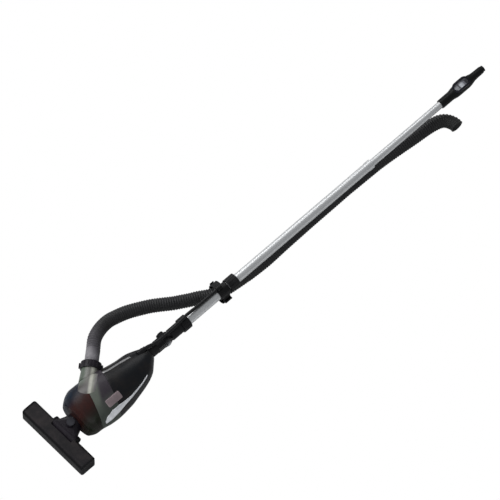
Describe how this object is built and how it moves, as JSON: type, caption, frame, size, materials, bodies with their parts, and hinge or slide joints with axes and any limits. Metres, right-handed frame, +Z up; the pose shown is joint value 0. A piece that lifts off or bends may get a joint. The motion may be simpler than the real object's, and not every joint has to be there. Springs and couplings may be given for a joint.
{
  "type": "submersible pond vacuum",
  "caption": "Hand-held submersible pump vacuum with a wide flat nozzle, a slanted hose outlet and a telescopic pole with a switched handle.",
  "frame": {"origin": "middle of the nozzle's sole, on the floor", "axes": "+X along the pole towards the handle, +Y towards the hose's side, +Z up from the floor"},
  "size_m": [1.562, 0.282, 0.1145],
  "materials": {
    "nozzle_plastic": "moulded satin",
    "sole_plastic": "moulded matt",
    "soft_rubber": "soft rubber",
    "screw_steel": "bright screws",
    "neck_plastic": "moulded satin",
    "button_plastic": "moulded satin",
    "spring_steel": "spring wire",
    "smoked_plastic": "smoked, see-through",
    "housing_grey": "moulded satin",
    "inner_plastic": "moulded",
    "pale_plastic": "moulded",
    "shaft_steel": "ground",
    "iron_core": "laminated",
    "copper_winding": "wound copper",
    "can_steel": "drawn",
    "shell_plastic": "moulded, satin gloss",
    "trim_silver": "silver lacquer",
    "flash_silver": "bright silver foil",
    "label_film": "bare metallic film",
    "black_plastic": "moulded, satin",
    "hose_plastic": "flexible ribbed hose",
    "tube_aluminium": "drawn, bright",
    "cable_rubber": "rubber sheath",
    "bezel_plastic": "moulded",
    "rocker_plastic": "moulded satin"
  },
  "bodies": {
    "head": {"front_chamber": "smoked_plastic", "strainer": "inner_plastic", "eye_plate": "inner_plastic", "pump_housing": "housing_grey", "stator": "copper_winding", "bearings": "shaft_steel", "shaft_seal": "soft_rubber", "motor_can": "can_steel", "body_upper": "shell_plastic", "body_lower": "shell_plastic", "body_screws": "screw_steel", "trim_strip": "trim_silver", "side_flash": "flash_silver", "label_plate": "label_film", "rear_yoke": "black_plastic", "cable_gland": "black_plastic", "outlet_washer": "soft_rubber", "hose_tail": "inner_plastic", "hose_loop": "hose_plastic", "power_cable": "cable_rubber", "hinge_bolt": "screw_steel", "hinge_washers": "screw_steel"},
    "neck": {"neck_duct": "neck_plastic", "neck_o_rings": "soft_rubber", "button_spring": "spring_steel"},
    "nozzle": {"nozzle_shell": "nozzle_plastic", "sole_plate": "sole_plastic", "lip_strips": "soft_rubber", "sole_screws": "screw_steel", "tilt_pins": "screw_steel"},
    "button": {"release_button": "button_plastic"},
    "pump_rotor": {"impeller": "pale_plastic", "motor_shaft": "shaft_steel", "rotor": "iron_core"},
    "hose_nut": {"union_nut": "black_plastic"},
    "knob": {"hinge_knob": "black_plastic"},
    "lower_pole": {"hinge_tongue": "black_plastic", "lower_tube": "tube_aluminium", "clip_saddle": "black_plastic", "jaw_pin": "screw_steel", "collet": "pale_plastic", "hose_run": "hose_plastic", "coiled_lead": "cable_rubber"},
    "tube_nut": {"socket_nut": "black_plastic"},
    "jaw": {"clip_jaw": "black_plastic"},
    "collar": {"lock_collar": "black_plastic"},
    "middle_pole": {"middle_tube": "tube_aluminium", "middle_glide": "pale_plastic", "end_bush": "tube_aluminium"},
    "upper_pole": {"upper_tube": "tube_aluminium", "upper_glide": "pale_plastic", "handle_top": "black_plastic", "handle_bottom": "black_plastic", "handle_screws": "screw_steel", "switch_bezel": "bezel_plastic", "switch_block": "inner_plastic", "flex_gland": "black_plastic"},
    "switch_rocker": {"rocker": "rocker_plastic"}
  },
  "joints": [
    {"name": "neck_swivel", "type": "hinge", "parent": "head", "child": "neck", "pos_m": [0.058, 0, 0.031], "axis": [1, 0, 0], "range_deg": [-45, 45]},
    {"name": "nozzle_tilt", "type": "hinge", "parent": "neck", "child": "nozzle", "pos_m": [0.022, 0, 0.024], "axis": [0, 1, 0], "range_deg": [-15, 60]},
    {"name": "button_press", "type": "slide", "parent": "neck", "child": "button", "axis": [0, 0, 1], "range_m": [-0.0025, 0], "stiffness_N_per_m": 400, "springref_m": 0.001, "deforming": ["button_spring"]},
    {"name": "pump_spin", "type": "hinge", "parent": "head", "child": "pump_rotor", "pos_m": [0.15, -0.007, 0.0585], "axis": [1, 0, 0], "continuous": true},
    {"name": "nut_turn", "type": "hinge", "parent": "head", "child": "hose_nut", "pos_m": [0.1855, 0.0755, 0.064], "axis": [0.766, 0.6428, 0], "range_deg": [-120, 0]},
    {"name": "pole_tilt", "type": "hinge", "parent": "head", "child": "lower_pole", "pos_m": [0.379, 0, 0.064], "axis": [0, -1, 0], "range_deg": [0, 70], "deforming": ["hose_loop", "power_cable"]},
    {"name": "knob_turn", "type": "hinge", "parent": "head", "child": "knob", "pos_m": [0.379, 0.02, 0.064], "axis": [0, 1, 0], "range_deg": [-180, 0]},
    {"name": "tube_nut_turn", "type": "hinge", "parent": "lower_pole", "child": "tube_nut", "pos_m": [0.447, 0, 0.064], "axis": [1, 0, 0], "range_deg": [0, 120]},
    {"name": "jaw_swing", "type": "hinge", "parent": "lower_pole", "child": "jaw", "pos_m": [0.591, -0.0175, 0.028], "axis": [-1, 0, 0], "range_deg": [0, 75]},
    {"name": "collar_turn", "type": "hinge", "parent": "lower_pole", "child": "collar", "pos_m": [0.625, 0, 0.064], "axis": [1, 0, 0], "range_deg": [0, 90]},
    {"name": "middle_slide", "type": "slide", "parent": "lower_pole", "child": "middle_pole", "axis": [1, 0, 0], "range_m": [0, 0.1]},
    {"name": "upper_slide", "type": "slide", "parent": "middle_pole", "child": "upper_pole", "axis": [1, 0, 0], "range_m": [-0.24, 0.08], "deforming": ["coiled_lead"]},
    {"name": "rocker_tip", "type": "hinge", "parent": "upper_pole", "child": "switch_rocker", "pos_m": [1.456, 0, 0.0765], "axis": [0, 1, 0], "range_deg": [-7, 7]}
  ]
}
